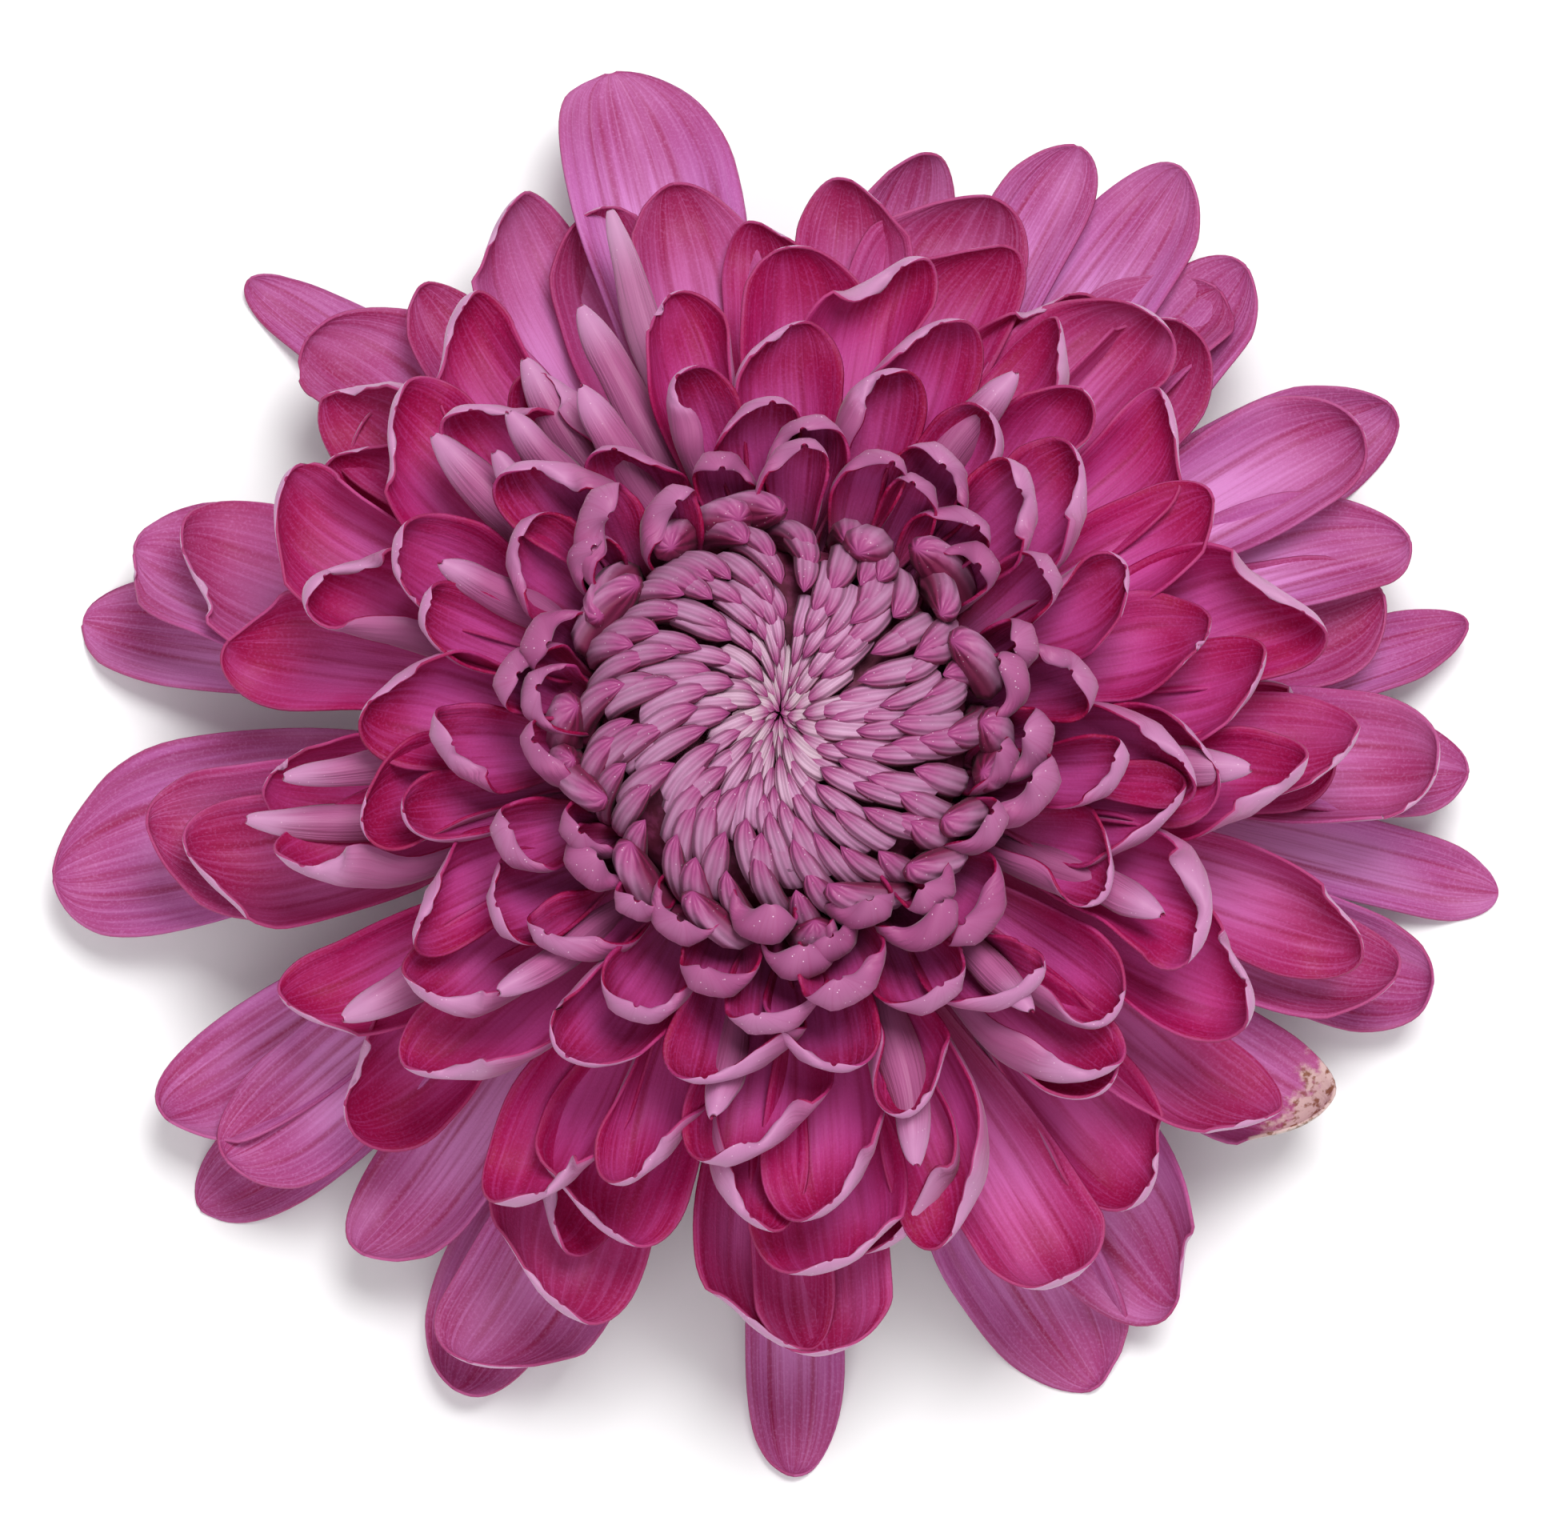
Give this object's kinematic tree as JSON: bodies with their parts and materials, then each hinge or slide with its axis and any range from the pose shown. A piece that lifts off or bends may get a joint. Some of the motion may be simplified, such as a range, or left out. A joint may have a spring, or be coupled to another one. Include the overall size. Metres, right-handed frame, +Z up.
{
  "type": "chrysanthemum bloom",
  "caption": "Disbud chrysanthemum bloom cut under its head: layered, cup-tipped magenta ray florets round a domed button of incurved centre florets.",
  "frame": {"origin": "on the surface the bloom rests on, under the middle of its box", "axes": "+Z up out of the bloom's face, +Y towards the side that is at the top of the picture"},
  "size_m": [0.1258, 0.1234, 0.0466],
  "materials": {
    "ray_petal": "satin",
    "button_petal": "matte",
    "green_stem": "matte"
  },
  "bodies": {
    "root": {"ray_florets": "ray_petal", "centre_florets": "button_petal", "stem_and_bracts": "green_stem"}
  },
  "joints": []
}
